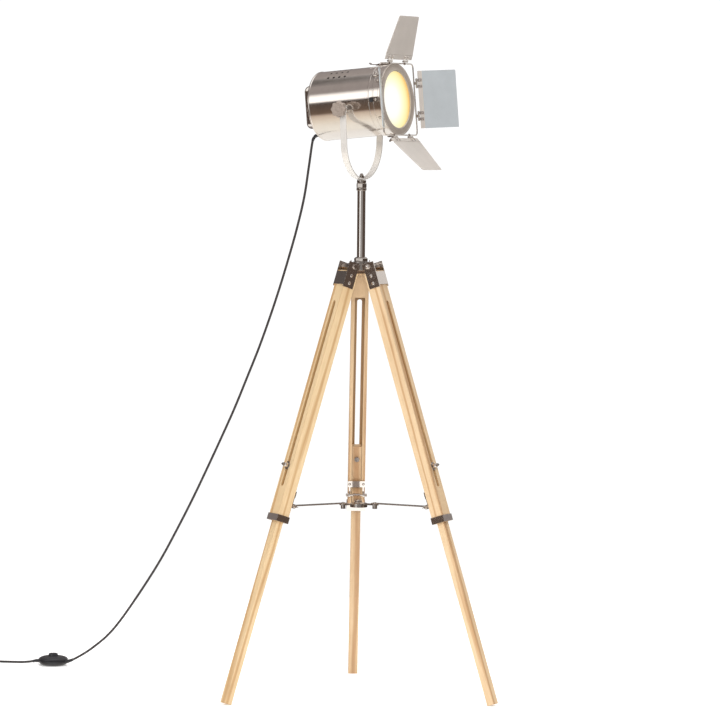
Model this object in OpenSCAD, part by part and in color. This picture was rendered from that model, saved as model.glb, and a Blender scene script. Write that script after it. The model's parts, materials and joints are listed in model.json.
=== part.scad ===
// Tripod floor lamp: folding telescopic wooden tripod, theatre-style spot head with four barn
// doors, floor switch on the mains cord. Millimetres. Z is the pole axis, the floor is z = 0 and
// the head points along +X, over leg 0. Legs 1 and 2 stand at 120 and 240 degrees.

/* [Tripod] */
// Lean of each leg from the vertical, in degrees
leg_lean = 18; // [16:0.5:20]
// Height of the leg pivots above the floor
pivot_z = 894.5; // [860:0.5:930]
// Distance of the leg pivots from the pole axis
pivot_r = 26.7; // [25:0.1:32]
// Tangential width of an upper leg
leg_w = 36; // [32:1:40]
// Radial depth of an upper leg
leg_t = 26; // [24:1:30]
// Tangential width of a lower leg
foot_w = 20; // [18:1:22]
// Radial depth of a lower leg
foot_t = 15.5; // [14:0.5:17]
// Distance along the leg from its pivot to the upper leg's lower end
upper_end = 550; // [530:5:570]
// Distance along the leg from its pivot to the lower leg's upper end
lower_start = 405; // [380:5:420]
// Distance along the leg from its pivot to the clamp bolt
clamp_u = 433; // [425:1:440]

/* [Spreader] */
// Distance along the leg from its pivot to the spreader pin
pin_u = 511; // [505:1:515]
// Width of a spreader arm
arm_w = 16; // [14:1:18]
// Diameter of the spreader's hub disc
hub_d = 36; // [32:1:40]

/* [Pole and yoke] */
// Diameter of the pole
pole_d = 17; // [15:0.5:20]
// Height of the pole's upper end
pole_top = 1060.5; // [1040:0.5:1080]
// Radius of the yoke's bend, to the middle of its strap
yoke_r = 78; // [76:0.5:80]
// Height of the tilt axis above the floor
tilt_z = 1219; // [1200:1:1235]

/* [Lamp head] */
// Upward tilt of the barrel from the horizontal, in degrees
head_tilt = 5; // [0:1:15]
// Diameter of the barrel
barrel_d = 143; // [138:1:145]
// Diameter of the lens opening in the bezel
lens_d = 117; // [110:1:124]
// Forward lean of the top, near, bottom and far barn doors, from flat-out
door_lean = [21, 26, 41, 32]; // [0:1:90]
// Length of a barn door from its hinge axis to its tip
door_len = 96; // [80:1:100]

/* [Cord] */
// Diameter of the mains cord
cord_d = 5; // [5:0.5:6]

/* [Hidden] */

eps = 1;
gap = 0.3;                    // clearance between bodies that slide or turn
bolt_r = 3;                   // M6 shanks
bore_r = 3.05;                // running bore for an M6 shank
pin_r = 2;                    // spreader pins
pin_bore_r = 2.05;
screw_r = 1.9;
screw_bore_r = 2;

// Upper leg: a channel on the inner face and a slot through the outer wall
channel_w = foot_w + 1;
channel_floor = leg_t / 2 - 5.5;
channel_top = 66;
slot_w = 10;
slot_from = 77;
slot_to = 477;
wood_top = 12;
foot_x = channel_floor - gap - foot_t;      // inner face of the lower leg
foot_end = (pivot_z + foot_x * sin(leg_lean)) / cos(leg_lean);

// Leg ironwork
plate = 2;
cap_x = leg_t / 2 + gap;
cap_y = leg_w / 2 + gap;
screw_rows = [20, 36];
strap_x = -leg_t / 2 - gap - plate;
strap_from = 481;
strap_screws = [14.5, -14.5];
eye_r = 4.5;
pin_x = -20;                                // spreader pin, inward of the leg's middle plane
pin_radius = pivot_r + pin_x * cos(leg_lean) + pin_u * sin(leg_lean);
pin_z = pivot_z + pin_x * sin(leg_lean) - pin_u * cos(leg_lean);
arm_from = 30;                              // inner end of a spreader arm
arm_t = 2;
lobe_r = 38;

// Hub, collar and pole
hub_r = 19;
hub_bottom = 886.5;
hub_top = 902;
lug_w = 22;
lug_r = 7;
collar_top = 914;
socket_d = 21;
socket_top = 1074;
yoke_t = 3;
yoke_w = 14;
yoke_bend_z = socket_top + gap + yoke_t / 2 + yoke_r;
tilt_y = 83;                                // middle of the yoke's strap at the tilt axis
knob_from = 86.5;
knob_to = 108;

// Head, along its own axis from the middle of the barrel
axis_rise = 14.5;                           // barrel axis above the tilt axis
barrel_rear = -89;
barrel_front = 78;
barrel_r = barrel_d / 2;
wall = 1.5;
vent_columns = [-50, -37, -24, -11];
vent_rows = [12, 26, 40];
bezel_back = 81.5;
bezel_face = 84.5;
bezel_r = 74.5;
lens_x = 77.5;
handle_h = 89;
handle_reach = 38;
gland_z = -58;
frame_half = 75.5;
rod = 3;
frame_x = bezel_face + gap;
hinge_r = 78.2;
hinge_x = frame_x + rod + 2.5;
knuckle_r = 2.2;
knuckle_bore = 1.05;
hinge_at = [-34, 34];
knuckle_len = 6;

// Cord route from the gland to the floor switch, and from the switch to the coil
route_main = [[-98.5, 0, 1166.7], [-108, 0, 1165], [-115, 0, 1158], [-119, 1, 1145], [-126, 1, 1099],
  [-137, 2, 1036], [-154, 3, 972], [-174, 4, 909], [-196, 5, 845], [-220, 6, 781], [-247, 8, 716],
  [-276, 9, 652], [-307, 11, 586], [-341, 13, 520], [-376, 15, 454], [-412, 16, 387], [-451, 18, 320],
  [-494, 21, 251], [-543, 23, 182], [-598, 26, 112], [-635, 28, 74], [-677, 31, 43], [-709, 33, 24],
  [-730, 34, 14], [-747, 35, 9.5]];
route_lead = [[-805, 35, 8], [-820, 34, 7], [-834, 31, 4.5], [-850, 26, 2.8], [-870, 18, 2.6],
  [-890, 10.5, 2.6], [-910, 6, 2.6], [-929, 4.6, 3]];
switch_at = [-776, 35];
switch_r = 32;
coil_at = [-950, -27];
coil_outer = 37;
coil_inner = 23;
coil_h = 17;
plug_y = coil_at[1] + coil_outer - cord_d / 2;
plug_from = coil_at[0] - 24;
plug_pin_r = 2;
plug_pin_spacing = 19;
plug_z = 7;

wood = [0.83, 0.69, 0.55];
nickel = [0.78, 0.77, 0.75];
dark_nickel = [0.36, 0.35, 0.34];
satin = [0.68, 0.65, 0.60];
black = [0.12, 0.11, 0.11];

// ---------- shared placements and shapes ----------

// Places children in leg k's frame: pivot at the origin, +X out of the leg's outer face, -Z down the leg
module on_leg(k) {
  rotate([0, 0, 120 * k]) translate([pivot_r, 0, pivot_z]) rotate([0, -leg_lean, 0]) children();
}

// Places children in the head's frame: barrel axis along +X, tilted up about the tilt axis
module on_head() {
  translate([0, 0, tilt_z]) rotate([0, -head_tilt, 0]) translate([0, 0, axis_rise]) children();
}

// A block given by its two corners
module block(low, high) {
  translate(low) cube(high - low);
}

// A rod or hole along X, Y or Z from one coordinate to another, through the origin of the other two
module x_rod(r, from, to) {
  translate([from, 0, 0]) rotate([0, 90, 0]) cylinder(r = r, h = to - from, $fn = 48);
}
module y_rod(r, from, to) {
  translate([0, from, 0]) rotate([-90, 0, 0]) cylinder(r = r, h = to - from, $fn = 48);
}
module z_rod(r, from, to) {
  translate([0, 0, from]) cylinder(r = r, h = to - from, $fn = 64);
}

// A tube along X
module x_tube(outer, inner, from, to) {
  difference() {
    x_rod(outer, from, to);
    x_rod(inner, from - eps, to + eps);
  }
}

// A square with round corners, as exact arcs
module round_square(half, r) {
  union() {
    square([2 * half, 2 * (half - r)], center = true);
    square([2 * (half - r), 2 * half], center = true);
    for (x = [-1, 1], y = [-1, 1]) translate([x * (half - r), y * (half - r)]) circle(r = r, $fn = 32);
  }
}

// A wing nut along +X from x = 0, with two ears across Y
module wing_nut_x(r, bore, h, ear) {
  difference() {
    union() {
      x_rod(r, 0, h);
      block([h * 0.25, -ear, -1.3], [h * 0.9, ear, 1.3]);
      for (s = [-1, 1]) translate([h * 0.95, s * (ear - 3.5), -1.3]) cylinder(r = 3.5, h = 2.6, $fn = 24);
    }
    x_rod(bore, -eps, h + 6);
  }
}

// A cord: one skin of eight-sided rings swept along a route
module sweep(route, r) {
  sides = 8;
  n = len(route);
  function way(i) = route[min(i + 1, n - 1)] - route[max(i - 1, 0)];
  function across(d) = let (a = cross(d, [0, 1, 0])) a / norm(a);
  function up(d) = let (b = cross(across(d), d)) b / norm(b);
  ring_points = [for (i = [0:n - 1]) let (d = way(i), a = across(d), b = up(d))
    for (j = [0:sides - 1]) route[i] + r * (cos(360 * j / sides) * a + sin(360 * j / sides) * b)];
  skin = [for (i = [0:n - 2], j = [0:sides - 1]) let (k = (j + 1) % sides)
    [i * sides + j, i * sides + k, (i + 1) * sides + k, (i + 1) * sides + j]];
  first = [for (j = [sides - 1:-1:0]) j];
  last = [for (j = [0:sides - 1]) (n - 1) * sides + j];
  polyhedron(points = ring_points, faces = concat([first], skin, [last]), convexity = 6);
}

// Points between the route's own points, so that a ring comes every few diameters
function densify(route, parts) = concat(
  [for (i = [0:len(route) - 2], t = [0:parts - 1]) bend(route, i, t / parts)], [route[len(route) - 1]]);
// Catmull-Rom curve through the route's points
function bend(p, i, t) = let (a = p[max(i - 1, 0)], b = p[i], c = p[i + 1], d = p[min(i + 2, len(p) - 1)])
  0.5 * (2 * b + (c - a) * t + (2 * a - 5 * b + 4 * c - d) * t * t + (3 * b - a - 3 * c + d) * t * t * t);

// ---------- hub and pole ----------

module hub_casting() {
  color(dark_nickel) difference() {
    union() {
      z_rod(hub_r, hub_bottom, hub_top);
      z_rod(hub_r + 1.5, hub_bottom, hub_bottom + 2.5);
      for (k = [0:2]) rotate([0, 0, 120 * k]) {
        block([hub_r - 8, -lug_w / 2, pivot_z - lug_r], [pivot_r, lug_w / 2, pivot_z + lug_r]);
        translate([pivot_r, 0, pivot_z]) y_rod(lug_r, -lug_w / 2, lug_w / 2);
      }
    }
    for (k = [0:2]) rotate([0, 0, 120 * k]) translate([pivot_r, 0, pivot_z])
      y_rod(bore_r, -lug_w / 2 - eps, lug_w / 2 + eps);
    z_rod(6, hub_bottom - eps, hub_bottom + 8);
  }
}

module leg_pivot_bolts() {
  color(nickel) for (k = [0:2]) rotate([0, 0, 120 * k]) translate([pivot_r, 0, pivot_z]) {
    y_rod(bolt_r, -cap_y - plate - 2, cap_y + plate + 2);
    for (s = [-1, 1]) translate([0, s * (cap_y + plate + 2.1), 0]) y_rod(5, -1.6, 1.6);
  }
}

module pole_collar() {
  color(dark_nickel) difference() {
    union() {
      z_rod(14.5, hub_top, collar_top - 1.5);
      z_rod(13, collar_top - 1.5, collar_top);
      z_rod(16.5, hub_top, hub_top + 2.5);
    }
    z_rod(pole_d / 2 + 0.05, hub_top + 2, collar_top + eps);
  }
}

module pole() {
  color(nickel) difference() {
    z_rod(pole_d / 2, hub_top + 2, pole_top);
    z_rod(pole_d / 2 - 1.5, hub_top + 4, pole_top - 12);
    z_rod(4, pole_top - 20, pole_top + eps);
  }
}

module pole_socket() {
  color(dark_nickel) difference() {
    union() {
      z_rod(socket_d / 2, pole_top - 9, socket_top - 1.5);
      z_rod(socket_d / 2 - 1.5, socket_top - 1.5, socket_top);
    }
    z_rod(pole_d / 2 + 0.05, pole_top - 10, pole_top);
    z_rod(bore_r, pole_top - eps, socket_top + eps);
  }
}

// ---------- legs ----------

module leg_upper(k) {
  color(wood) on_leg(k) difference() {
    block([-leg_t / 2, -leg_w / 2, -upper_end], [leg_t / 2, leg_w / 2, -wood_top]);
    block([-leg_t / 2 - eps, -channel_w / 2, -upper_end - eps], [channel_floor, channel_w / 2, -channel_top]);
    block([channel_floor - eps, -slot_w / 2, -slot_to + slot_w / 2],
      [leg_t / 2 + eps, slot_w / 2, -slot_from - slot_w / 2]);
    for (u = [slot_from + slot_w / 2, slot_to - slot_w / 2])
      translate([0, 0, -u]) x_rod(slot_w / 2, channel_floor - eps, leg_t / 2 + eps);
    for (u = screw_rows) translate([2, 0, -u]) {
      y_rod(screw_bore_r, leg_w / 2 - 9, leg_w / 2 + eps);
      y_rod(screw_bore_r, -leg_w / 2 - eps, -leg_w / 2 + 9);
    }
    for (y = strap_screws) translate([0, y, -strap_from - 7])
      x_rod(screw_bore_r, -leg_t / 2 - eps, -leg_t / 2 + 9);
  }
}

module leg_cap(k) {
  color(nickel) on_leg(k) difference() {
    union() {
      block([cap_x, -cap_y - plate, -42], [cap_x + plate, cap_y + plate, -14]);
      for (s = [-1, 1]) {
        block([-9, min(s * cap_y, s * (cap_y + plate)), -46],
          [cap_x + plate, max(s * cap_y, s * (cap_y + plate)), 8]);
        y_rod(6, min(s * (lug_w / 2 + gap), s * cap_y), max(s * (lug_w / 2 + gap), s * (cap_y + 0.5)));
      }
    }
    y_rod(bore_r, -cap_y - 9, cap_y + 9);
    for (u = screw_rows) translate([2, 0, -u]) y_rod(screw_bore_r, -cap_y - 9, cap_y + 9);
  }
}

// Round-head wood screws: four through the cap's cheeks and two through the inner strap
module leg_screws(k) {
  color(dark_nickel) on_leg(k) {
    for (u = screw_rows, s = [0, 180]) translate([2, 0, -u]) rotate([0, 0, s]) {
      y_rod(screw_r, leg_w / 2 - 8, cap_y + plate + 0.5);
      translate([0, cap_y + plate, 0]) y_rod(3.4, 0, 1.4);
    }
    for (y = strap_screws) translate([0, y, -strap_from - 7]) {
      x_rod(screw_r, strap_x - 0.5, -leg_t / 2 + 8);
      x_rod(3, strap_x - 1.4, strap_x);
    }
  }
}

// The band round the lower end, and the inner strap whose two bars carry the spreader pin
module leg_straps(k) {
  band = 1.5;
  color(nickel) on_leg(k) {
    difference() {
      block([-cap_x - band, -cap_y - band, -upper_end], [cap_x + band, cap_y + band, -upper_end + 14]);
      block([-cap_x, -cap_y, -upper_end - eps], [cap_x, cap_y, -upper_end + 15]);
    }
    difference() {
      union() {
        block([strap_x, -leg_w / 2, -strap_from - 14], [strap_x + plate, leg_w / 2, -strap_from]);
        for (s = [-1, 1]) {
          block([strap_x, min(s * 13, s * 16), -pin_u], [strap_x + plate, max(s * 13, s * 16), -strap_from]);
          block([pin_x, min(s * 13, s * 16), -pin_u - eye_r],
            [strap_x + plate, max(s * 13, s * 16), -pin_u + eye_r]);
          translate([pin_x, 0, -pin_u]) y_rod(eye_r, min(s * 13, s * 16), max(s * 13, s * 16));
        }
      }
      translate([pin_x, 0, -pin_u]) y_rod(pin_bore_r, -20, 20);
      for (y = strap_screws) translate([0, y, -strap_from - 7])
        x_rod(screw_bore_r, strap_x - eps, strap_x + 5);
    }
  }
}

module leg_spreader_pin(k) {
  color(dark_nickel) on_leg(k) translate([pin_x, 0, -pin_u]) {
    y_rod(pin_r, -23, 23);
    for (s = [90, -90]) rotate([0, 0, s]) translate([16.3, 0, 0]) wing_nut_x(3.6, pin_bore_r, 5, 6);
  }
}

module leg_lower(k) {
  color(wood) on_leg(k) difference() {
    block([foot_x, -foot_w / 2, -foot_end], [foot_x + foot_t, foot_w / 2, -lower_start]);
    translate([0, 0, -clamp_u]) x_rod(bore_r, foot_x - eps, foot_x + foot_t + eps);
  }
}

module leg_clamp_bolt(k) {
  color(dark_nickel) on_leg(k) translate([0, 0, -clamp_u]) {
    x_rod(bolt_r, foot_x - 1, leg_t / 2 + 13);
    x_rod(5.5, foot_x - 3.4, foot_x);
    difference() {
      x_rod(8.5, leg_t / 2 + 0.05, leg_t / 2 + 1.5);
      x_rod(bore_r, leg_t / 2 - eps, leg_t / 2 + 3);
    }
  }
}

module leg_wing_nut(k) {
  color(dark_nickel) on_leg(k) translate([leg_t / 2 + 1.8, 0, -clamp_u]) wing_nut_x(5.5, bore_r, 8, 10);
}

// ---------- spreader ----------

module spreader_arm(k) {
  color(nickel) rotate([0, 0, 120 * k]) difference() {
    union() {
      block([arm_from + arm_w / 2, -arm_w / 2, pin_z - arm_t / 2],
        [pin_radius, arm_w / 2, pin_z + arm_t / 2]);
      translate([arm_from + arm_w / 2, 0, 0]) z_rod(arm_w / 2, pin_z - arm_t / 2, pin_z + arm_t / 2);
      translate([pin_radius, 0, pin_z]) y_rod(eye_r - 0.5, -arm_w / 2, arm_w / 2);
      translate([arm_from + arm_w / 2, 0, 0]) z_rod(3, pin_z + arm_t / 2, pin_z + arm_t / 2 + 1.6);
    }
    translate([pin_radius, 0, pin_z]) y_rod(pin_bore_r, -arm_w, arm_w);
  }
}

module spreader_hub() {
  top = pin_z - arm_t / 2 - gap;
  color(dark_nickel) {
    z_rod(hub_d / 2, top - 8, top);
    for (k = [0:2]) rotate([0, 0, 120 * k]) {
      block([hub_d / 2 - 4, -arm_w / 2, top - 2.5], [lobe_r, arm_w / 2, top]);
      translate([lobe_r, 0, 0]) z_rod(arm_w / 2, top - 2.5, top);
      translate([lobe_r, 0, 0]) z_rod(5, top - 10, top - 2.5);
    }
  }
}

// ---------- yoke ----------

module yoke() {
  rise = tilt_z - yoke_bend_z;
  half = yoke_t / 2;
  color(nickel) difference() {
    union() {
      translate([0, 0, yoke_bend_z]) rotate([0, 90, 0]) rotate([0, 0, -90])
        rotate_extrude(angle = 180, $fn = 96) translate([yoke_r - half, -yoke_w / 2])
          square([yoke_t, yoke_w]);
      for (s = [0, 1]) mirror([0, s, 0]) {
        translate([0, 0, yoke_bend_z]) rotate([90, 0, 90]) linear_extrude(height = yoke_w, center = true)
          polygon([[yoke_r - half, 0], [yoke_r + half, 0], [tilt_y + half, rise - 14],
            [tilt_y + half, rise], [tilt_y - half, rise], [tilt_y - half, rise - 14]]);
        translate([0, tilt_y, tilt_z]) y_rod(9, -half, half);
      }
    }
    translate([0, 0, tilt_z]) y_rod(bore_r, -tilt_y - 9, tilt_y + 9);
    z_rod(bore_r, yoke_bend_z - yoke_r - 5, yoke_bend_z - yoke_r + 5);
  }
}

// Pan bolt with its nut inside the bend, and the two tilt bolts with their washers
module yoke_fasteners() {
  bend_top = yoke_bend_z - yoke_r + yoke_t / 2;
  color(dark_nickel) {
    z_rod(bolt_r, pole_top + 1, bend_top + 4);
    z_rod(5, bend_top + 0.2, bend_top + 6);
    translate([0, 0, bend_top + 7]) sphere(r = 3.6, $fn = 32);
    for (s = [0, 1]) mirror([0, s, 0]) translate([0, 0, tilt_z]) {
      y_rod(bolt_r, 66, knob_to - 8);
      difference() {
        y_rod(7, tilt_y + yoke_t / 2, knob_from - 0.4);
        y_rod(bore_r, tilt_y, knob_from);
      }
    }
  }
}

// Fluted clamping knob on a tilt bolt
module tilt_knob(side) {
  lobes = 8;
  color(dark_nickel) mirror([0, side, 0]) translate([0, 0, tilt_z]) rotate([90, 0, 0]) difference() {
    union() {
      z_rod(8, knob_from, 95);
      z_rod(14, 94, knob_to - 1.5);
      z_rod(12.5, knob_to - 2, knob_to);
      for (i = [0:lobes - 1]) rotate([0, 0, 360 * i / lobes]) translate([13, 0, 0])
        z_rod(3.4, 94, knob_to - 1.5);
    }
    z_rod(bore_r, knob_from - eps, knob_to - 7);
  }
}

// ---------- lamp head ----------

module barrel() {
  color(nickel) on_head() difference() {
    union() {
      x_rod(barrel_r, barrel_rear, barrel_front);
      translate([0, 0, -axis_rise]) y_rod(8, -tilt_y + yoke_t / 2 + gap, tilt_y - yoke_t / 2 - gap);
    }
    x_rod(barrel_r - wall, barrel_rear - eps, barrel_front + eps);
    translate([0, 0, -axis_rise]) y_rod(bore_r, -tilt_y, tilt_y);
    for (x = vent_columns, a = vent_rows, s = [-1, 1]) translate([x, 0, 0]) rotate([s * a, 0, 0])
      z_rod(2.5, barrel_r - 9, barrel_r + 5);
  }
}

module rear_cover() {
  color(nickel) on_head() difference() {
    union() {
      x_rod(barrel_r, barrel_rear - 2.1, barrel_rear - 0.1);
      x_tube(barrel_r - wall - 0.1, barrel_r - wall - 2, barrel_rear - 1, barrel_rear + 9);
    }
    translate([0, 0, gland_z]) x_rod(4.05, barrel_rear - 9, barrel_rear + 9);
  }
}

// D-handle with two feet and their screws
module rear_handle() {
  back = barrel_rear - 2.2;
  corner = 12;
  turn_x = back - handle_reach + corner;
  color(dark_nickel) on_head() {
    translate([0, 7, 0]) rotate([90, 0, 0]) linear_extrude(height = 14) difference() {
      union() {
        translate([turn_x - corner, -handle_h / 2 + corner]) square([handle_reach, handle_h - 2 * corner]);
        translate([turn_x, -handle_h / 2]) square([handle_reach - corner, handle_h]);
        for (s = [-1, 1]) translate([turn_x, s * (handle_h / 2 - corner)]) circle(r = corner, $fn = 48);
      }
      translate([turn_x - corner + 2, -handle_h / 2 + corner])
        square([handle_reach, handle_h - 2 * corner]);
      translate([turn_x, -handle_h / 2 + 2]) square([handle_reach, handle_h - 4]);
      for (s = [-1, 1]) translate([turn_x, s * (handle_h / 2 - corner)]) circle(r = corner - 2, $fn = 48);
    }
    for (s = [-1, 1]) {
      block([back - 2, -7, min(s * 31, s * 43)], [back, 7, max(s * 31, s * 43)]);
      translate([0, 0, s * 36]) x_rod(3, back - 3.6, back - 2);
    }
  }
}

module front_collar() {
  color(nickel) on_head() x_tube(barrel_r + 1.8, barrel_r + 0.1, 52, bezel_back - 0.2);
}

// The fastenings round the front collar: two side brackets, a top latch and a bottom catch screw
module collar_latches() {
  seat = barrel_r + 1.9;
  color(dark_nickel) on_head() {
    for (a = [-90, 90]) rotate([a, 0, 0]) {
      block([60, -5, seat], [78, 5, seat + 3]);
      translate([69, 0, 0]) z_rod(2.4, seat + 3, seat + 5);
    }
    block([42, -7, seat], [76, 7, seat + 2]);
    block([42, -4, seat + 2], [62, 4, seat + 4.5]);
    rotate([180, 0, 0]) {
      block([58, -5, seat], [74, 5, seat + 3]);
      translate([66, 0, 0]) z_rod(2.2, seat + 3, seat + 10);
      block([58, -1.3, seat + 7], [74, 1.3, seat + 12]);
    }
  }
}

module bezel() {
  color(satin) on_head() {
    x_tube(bezel_r, lens_d / 2, bezel_back, bezel_face);
    x_tube(65, 62.5, lens_x - 4, bezel_back);
  }
}

module lens() {
  color([1, 0.96, 0.8]) on_head() x_rod(62, lens_x, bezel_back - 0.3);
}

module lamp_holder() {
  color(black) on_head() {
    x_rod(30, barrel_rear, barrel_rear + 2);
    x_rod(21, barrel_rear + 2, -42);
  }
}

module bulb() {
  color([1, 0.98, 0.92]) on_head() {
    x_rod(13, -41.8, -18);
    translate([8, 0, 0]) sphere(r = 30, $fn = 48);
  }
}

module cable_gland() {
  color(black) on_head() translate([0, 0, gland_z]) difference() {
    union() {
      x_rod(4, barrel_rear - 3, barrel_rear + 3);
      x_rod(6.5, barrel_rear - 6, barrel_rear - 2.2);
      x_rod(4.5, barrel_rear - 10, barrel_rear - 6);
    }
    x_rod(cord_d / 2, barrel_rear - 11, barrel_rear + 4);
  }
}

// Places children at a barn door's hinge: hinge axis along Y, flat-out direction +Z
module at_door(i) {
  on_head() rotate([90 * i, 0, 0]) translate([hinge_x, 0, hinge_r]) children();
}

// Square rod frame in front of the bezel, with the fixed hinge knuckles
module door_frame() {
  color(satin) {
    on_head() translate([frame_x, 0, 0]) rotate([0, 90, 0]) linear_extrude(height = rod) difference() {
      round_square(frame_half, 10);
      round_square(frame_half - rod, 7);
    }
    for (i = [0:3]) at_door(i) for (y = hinge_at) translate([0, y, 0]) difference() {
      union() {
        y_rod(knuckle_r, -knuckle_len / 2, knuckle_len / 2);
        block([-2.6, -knuckle_len / 2, frame_half - rod - hinge_r], [-1.2, knuckle_len / 2, 0]);
      }
      y_rod(knuckle_bore, -9, 9);
    }
  }
}

module door_hinge_pins() {
  color(dark_nickel) for (i = [0:3]) at_door(i) for (y = hinge_at) translate([0, y, 0]) {
    y_rod(1, -9.8, 9.8);
    for (s = [0, 1]) mirror([0, s, 0]) y_rod(1.8, 9.7, 10.6);
  }
}

// A barn door: sheet metal leaf with four hinge knuckles
module door(i, base_half, tip_half) {
  sheet = 0.8;
  color(satin) at_door(i) rotate([0, door_lean[i], 0]) difference() {
    union() {
      translate([sheet / 2, 0, 0]) rotate([0, -90, 0]) linear_extrude(height = sheet)
        polygon([[3.2, -base_half], [3.2, base_half], [12, base_half], [door_len, tip_half],
          [door_len, -tip_half], [12, -base_half]]);
      for (y = hinge_at, s = [-1, 1]) translate([0, y + s * 6.4, 0]) {
        y_rod(knuckle_r, -3, 3);
        block([-sheet / 2, -3, 1.6], [sheet / 2, 3, 4]);
        translate([0, 0, 8]) x_rod(1.6, -1.2, 1.2);
      }
    }
    for (y = hinge_at) translate([0, y, 0]) y_rod(knuckle_bore, -12, 12);
  }
}

// ---------- cord, floor switch and plug ----------

module cord_main() {
  color(black) sweep(densify(route_main, 3), cord_d / 2);
}

module cord_lead() {
  color(black) sweep(densify(route_lead, 2), cord_d / 2);
}

module cord_coil() {
  color(black) translate([coil_at[0], coil_at[1], 0]) rotate_extrude($fn = 64)
    translate([coil_inner, 0]) square([coil_outer - coil_inner, coil_h]);
}

module switch_base() {
  color(black) translate([switch_at[0], switch_at[1], 0]) {
    z_rod(switch_r, 0, 3);
    z_rod(switch_r - 2, 3, 12);
  }
}

module switch_cover() {
  color(black) translate([switch_at[0], switch_at[1], 0]) difference() {
    union() {
      z_rod(switch_r, 12.2, 15);
      z_rod(switch_r - 2, 15, 18);
      z_rod(switch_r - 7, 18, 21);
      z_rod(switch_r - 13, 21, 23);
    }
    z_rod(10.3, 17, 25);
  }
}

module switch_button() {
  color(black) translate([switch_at[0], switch_at[1], 0]) {
    z_rod(10, 20.5, 26);
    z_rod(8.5, 26, 27.5);
  }
}

module plug() {
  color(black) translate([plug_from, plug_y, plug_z]) {
    x_rod(4, -18, 0);
    block([-38, -8, -5], [-18, 8, 5]);
    block([-52, -13, -6.8], [-38, 13, 6.8]);
    for (s = [-1, 1]) translate([0, s * plug_pin_spacing / 2, 0]) x_rod(plug_pin_r, -71, -52);
  }
}

// ---------- assembly ----------

hub_casting();
leg_pivot_bolts();
pole_collar();
pole();
pole_socket();
leg_upper(0);  // leg_0_upper
leg_upper(1);  // leg_1_upper
leg_upper(2);  // leg_2_upper
leg_cap(0);  // leg_0_cap
leg_cap(1);  // leg_1_cap
leg_cap(2);  // leg_2_cap
leg_screws(0);  // leg_0_screws
leg_screws(1);  // leg_1_screws
leg_screws(2);  // leg_2_screws
leg_straps(0);  // leg_0_straps
leg_straps(1);  // leg_1_straps
leg_straps(2);  // leg_2_straps
leg_spreader_pin(0);  // leg_0_spreader_pin
leg_spreader_pin(1);  // leg_1_spreader_pin
leg_spreader_pin(2);  // leg_2_spreader_pin
leg_lower(0);  // leg_0_lower
leg_lower(1);  // leg_1_lower
leg_lower(2);  // leg_2_lower
leg_clamp_bolt(0);  // leg_0_clamp_bolt
leg_clamp_bolt(1);  // leg_1_clamp_bolt
leg_clamp_bolt(2);  // leg_2_clamp_bolt
leg_wing_nut(0);  // leg_0_wing_nut
leg_wing_nut(1);  // leg_1_wing_nut
leg_wing_nut(2);  // leg_2_wing_nut
spreader_arm(0);  // spreader_arm_0
spreader_arm(1);  // spreader_arm_1
spreader_arm(2);  // spreader_arm_2
spreader_hub();
yoke();
yoke_fasteners();
tilt_knob(0);  // tilt_knob_near
tilt_knob(1);  // tilt_knob_far
barrel();
rear_cover();
rear_handle();
front_collar();
collar_latches();
bezel();
lens();
lamp_holder();
bulb();
cable_gland();
door_frame();
door_hinge_pins();
door(0, 59, 42.5);  // door_top
door(1, 60, 60);  // door_near
door(2, 59, 42.5);  // door_bottom
door(3, 60, 60);  // door_far
cord_main();
cord_lead();
cord_coil();
switch_base();
switch_cover();
switch_button();
plug();
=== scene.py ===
"""Tripod floor lamp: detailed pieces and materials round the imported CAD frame.

Shapes are in millimetres in the frame of their own part (leg, head, door), and are placed in
the row frame in metres. The camera comes first, then shapes, materials, cords, pieces and stage.
"""
import json
import math

import bmesh
import bpy
from mathutils import Matrix, Vector

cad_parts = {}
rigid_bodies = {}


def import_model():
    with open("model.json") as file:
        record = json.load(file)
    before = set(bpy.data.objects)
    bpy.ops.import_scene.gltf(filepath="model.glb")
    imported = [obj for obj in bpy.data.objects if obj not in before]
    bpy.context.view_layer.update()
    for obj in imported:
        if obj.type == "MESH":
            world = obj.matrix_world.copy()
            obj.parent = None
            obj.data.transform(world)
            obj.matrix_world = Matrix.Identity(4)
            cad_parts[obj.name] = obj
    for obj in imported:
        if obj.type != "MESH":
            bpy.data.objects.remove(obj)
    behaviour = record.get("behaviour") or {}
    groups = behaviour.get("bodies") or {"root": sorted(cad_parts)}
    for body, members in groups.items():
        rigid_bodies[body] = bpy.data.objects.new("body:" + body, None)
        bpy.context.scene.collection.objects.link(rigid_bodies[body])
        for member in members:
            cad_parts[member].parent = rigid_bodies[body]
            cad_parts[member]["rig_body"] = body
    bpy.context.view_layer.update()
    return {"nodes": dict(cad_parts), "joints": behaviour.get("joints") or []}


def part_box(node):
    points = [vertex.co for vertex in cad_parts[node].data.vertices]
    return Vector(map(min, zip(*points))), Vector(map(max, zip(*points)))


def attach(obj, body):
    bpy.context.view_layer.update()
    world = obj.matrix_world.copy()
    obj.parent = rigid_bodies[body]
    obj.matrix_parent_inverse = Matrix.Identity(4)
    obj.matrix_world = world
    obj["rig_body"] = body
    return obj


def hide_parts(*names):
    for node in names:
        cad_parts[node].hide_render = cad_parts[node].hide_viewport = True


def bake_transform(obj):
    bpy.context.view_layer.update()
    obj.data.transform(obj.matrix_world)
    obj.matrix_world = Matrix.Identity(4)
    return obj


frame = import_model()

MM = 0.001
JOINTS = {joint["name"]: joint for joint in frame["joints"]}
DOORS = ("top", "near", "bottom", "far")
BARREL_R = 71.5
TO_CAMERA = Vector((0.4726, -0.8813, 0))


# ---------- frames of reference, from the joints ----------


def turn(axis, degrees):
    return Matrix.Rotation(math.radians(degrees), 4, axis)


def shift(x, y, z):
    return Matrix.Translation(Vector((x, y, z)))


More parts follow.
